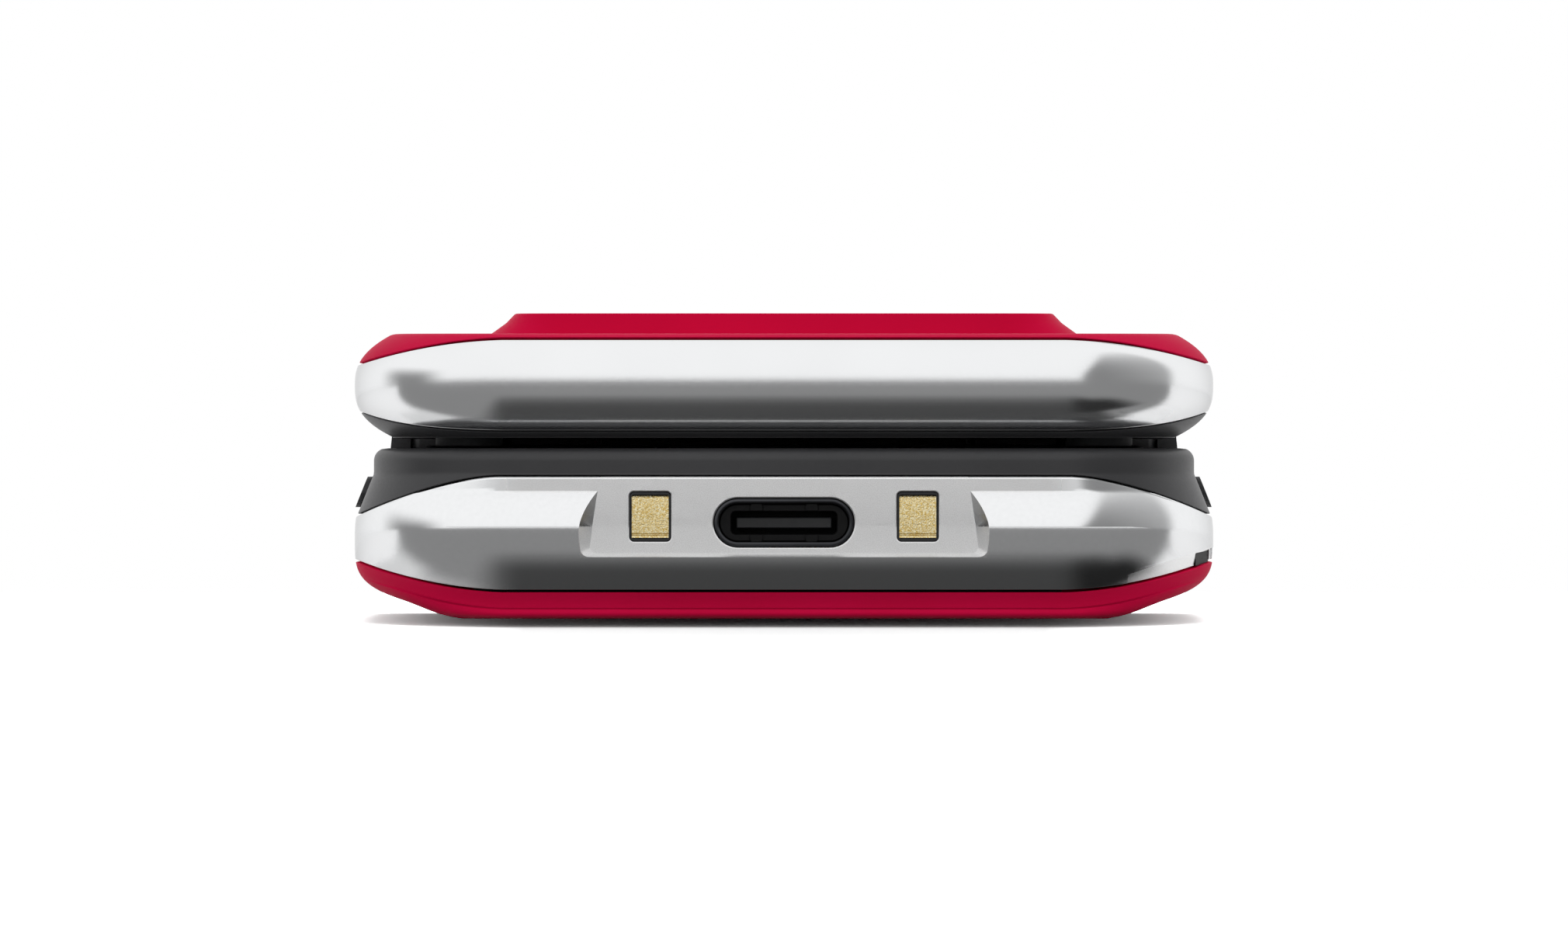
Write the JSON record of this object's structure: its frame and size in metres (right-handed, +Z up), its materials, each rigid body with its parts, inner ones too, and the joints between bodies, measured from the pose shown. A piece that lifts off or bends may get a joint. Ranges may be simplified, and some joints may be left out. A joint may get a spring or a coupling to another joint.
{
  "type": "flip phone",
  "caption": "Flip phone, closed: keypad half and hinged display lid, red covers, silver bands, USB-C socket and charging contacts at the front end.",
  "frame": {"origin": "centre of the body on the plane it lies on, under the battery cover", "axes": "+X across to the side key's side, +Y towards the hinge end, +Z up out of the lid's cover"},
  "size_m": [0.056, 0.11, 0.0199],
  "materials": {
    "red_shell": "glossy crimson lacquer over moulded shell",
    "silver_trim": "satin chrome plating on moulded trim",
    "black_shell": "fine satin moulded black",
    "inner_plastic": "plain moulded",
    "circuit_board": "solder mask over glass epoxy",
    "spring_steel": "plain steel",
    "dark_steel": "dark plated steel",
    "gold_plate": "grained gold plating",
    "battery_wrap": "wrapped lithium-ion pack",
    "key_plastic": "satin silver keycaps",
    "window_glass": "clear window with a black border",
    "display": "liquid crystal panel",
    "lens": "camera barrel",
    "led_lens": "clear flash lens",
    "soft_rubber": "soft pad",
    "flex_film": "polyimide film"
  },
  "bodies": {
    "base": {"battery_cover": "red_shell", "base_band": "silver_trim", "keypad_deck": "black_shell", "chassis": "inner_plastic", "main_board": "circuit_board", "shield_cans": "spring_steel", "dome_sheet": "flex_film", "usb_shell": "dark_steel", "usb_tongue": "inner_plastic", "charging_contacts": "gold_plate", "contact_carriers": "inner_plastic", "battery": "battery_wrap", "battery_terminals": "gold_plate", "sim_holder": "spring_steel", "loudspeaker": "inner_plastic", "microphone": "gold_plate", "vibration_motor": "spring_steel", "antenna": "inner_plastic", "base_screws": "dark_steel", "side_switches": "spring_steel", "hinge_cam": "spring_steel", "hinge_pin": "spring_steel", "hinge_caps": "black_shell", "hinge_flex": "flex_film"},
    "lid": {"lid_band": "silver_trim", "lid_frame": "black_shell", "lid_cover": "red_shell", "outer_window": "window_glass", "outer_display": "display", "camera": "lens", "flash_led": "led_lens", "main_window": "window_glass", "main_display": "display", "earpiece": "inner_plastic", "lid_board": "circuit_board", "lid_screws": "dark_steel", "bumpers": "soft_rubber", "hinge_can": "spring_steel", "hinge_spring": "spring_steel"},
    "key_star": {"key_star": "key_plastic"},
    "key_0": {"key_0": "key_plastic"},
    "key_hash": {"key_hash": "key_plastic"},
    "key_7": {"key_7": "key_plastic"},
    "key_8": {"key_8": "key_plastic"},
    "key_9": {"key_9": "key_plastic"},
    "key_4": {"key_4": "key_plastic"},
    "key_5": {"key_5": "key_plastic"},
    "key_6": {"key_6": "key_plastic"},
    "key_1": {"key_1": "key_plastic"},
    "key_2": {"key_2": "key_plastic"},
    "key_3": {"key_3": "key_plastic"},
    "send_key": {"send_key": "key_plastic"},
    "clear_key": {"clear_key": "key_plastic"},
    "end_key": {"end_key": "key_plastic"},
    "soft_key_left": {"soft_key_left": "key_plastic"},
    "soft_key_right": {"soft_key_right": "key_plastic"},
    "ok_key": {"ok_key": "key_plastic"},
    "nav_ring": {"nav_ring": "silver_trim"},
    "volume_rocker": {"volume_rocker": "black_shell"},
    "side_key": {"side_key": "black_shell"}
  },
  "joints": [
    {"name": "lid_hinge", "type": "hinge", "parent": "base", "child": "lid", "pos_m": [0, 0.0486, 0.0124], "axis": [-1, 0, 0], "range_deg": [0, 160]},
    {"name": "key_star_press", "type": "slide", "parent": "base", "child": "key_star", "axis": [0, 0, -1], "range_m": [0, 0.00035], "stiffness_N_per_m": 1200, "springref_m": -0.0003},
    {"name": "key_0_press", "type": "slide", "parent": "base", "child": "key_0", "axis": [0, 0, -1], "range_m": [0, 0.00035], "stiffness_N_per_m": 1200, "springref_m": -0.0003},
    {"name": "key_hash_press", "type": "slide", "parent": "base", "child": "key_hash", "axis": [0, 0, -1], "range_m": [0, 0.00035], "stiffness_N_per_m": 1200, "springref_m": -0.0003},
    {"name": "key_7_press", "type": "slide", "parent": "base", "child": "key_7", "axis": [0, 0, -1], "range_m": [0, 0.00035], "stiffness_N_per_m": 1200, "springref_m": -0.0003},
    {"name": "key_8_press", "type": "slide", "parent": "base", "child": "key_8", "axis": [0, 0, -1], "range_m": [0, 0.00035], "stiffness_N_per_m": 1200, "springref_m": -0.0003},
    {"name": "key_9_press", "type": "slide", "parent": "base", "child": "key_9", "axis": [0, 0, -1], "range_m": [0, 0.00035], "stiffness_N_per_m": 1200, "springref_m": -0.0003},
    {"name": "key_4_press", "type": "slide", "parent": "base", "child": "key_4", "axis": [0, 0, -1], "range_m": [0, 0.00035], "stiffness_N_per_m": 1200, "springref_m": -0.0003},
    {"name": "key_5_press", "type": "slide", "parent": "base", "child": "key_5", "axis": [0, 0, -1], "range_m": [0, 0.00035], "stiffness_N_per_m": 1200, "springref_m": -0.0003},
    {"name": "key_6_press", "type": "slide", "parent": "base", "child": "key_6", "axis": [0, 0, -1], "range_m": [0, 0.00035], "stiffness_N_per_m": 1200, "springref_m": -0.0003},
    {"name": "key_1_press", "type": "slide", "parent": "base", "child": "key_1", "axis": [0, 0, -1], "range_m": [0, 0.00035], "stiffness_N_per_m": 1200, "springref_m": -0.0003},
    {"name": "key_2_press", "type": "slide", "parent": "base", "child": "key_2", "axis": [0, 0, -1], "range_m": [0, 0.00035], "stiffness_N_per_m": 1200, "springref_m": -0.0003},
    {"name": "key_3_press", "type": "slide", "parent": "base", "child": "key_3", "axis": [0, 0, -1], "range_m": [0, 0.00035], "stiffness_N_per_m": 1200, "springref_m": -0.0003},
    {"name": "send_key_press", "type": "slide", "parent": "base", "child": "send_key", "axis": [0, 0, -1], "range_m": [0, 0.00035], "stiffness_N_per_m": 1200, "springref_m": -0.0003},
    {"name": "clear_key_press", "type": "slide", "parent": "base", "child": "clear_key", "axis": [0, 0, -1], "range_m": [0, 0.00035], "stiffness_N_per_m": 1200, "springref_m": -0.0003},
    {"name": "end_key_press", "type": "slide", "parent": "base", "child": "end_key", "axis": [0, 0, -1], "range_m": [0, 0.00035], "stiffness_N_per_m": 1200, "springref_m": -0.0003},
    {"name": "soft_key_left_press", "type": "slide", "parent": "base", "child": "soft_key_left", "axis": [0, 0, -1], "range_m": [0, 0.00035], "stiffness_N_per_m": 1200, "springref_m": -0.0003},
    {"name": "soft_key_right_press", "type": "slide", "parent": "base", "child": "soft_key_right", "axis": [0, 0, -1], "range_m": [0, 0.00035], "stiffness_N_per_m": 1200, "springref_m": -0.0003},
    {"name": "ok_key_press", "type": "slide", "parent": "base", "child": "ok_key", "axis": [0, 0, -1], "range_m": [0, 0.00035], "stiffness_N_per_m": 1200, "springref_m": -0.0003},
    {"name": "nav_ring_rock", "type": "hinge", "parent": "base", "child": "nav_ring", "pos_m": [0, 0.0186, 0.0096], "axis": [1, 0, 0], "range_deg": [-1.5, 1.5], "stiffness_Nm_per_rad": 0.08},
    {"name": "volume_rock", "type": "hinge", "parent": "base", "child": "volume_rocker", "pos_m": [-0.0244, -0.03, 0.00825], "axis": [0, 0, 1], "range_deg": [-1.2, 1.2], "stiffness_Nm_per_rad": 0.06},
    {"name": "side_key_press", "type": "slide", "parent": "base", "child": "side_key", "axis": [-1, 0, 0], "range_m": [0, 0.0003], "stiffness_N_per_m": 1200, "springref_m": -0.0003}
  ]
}
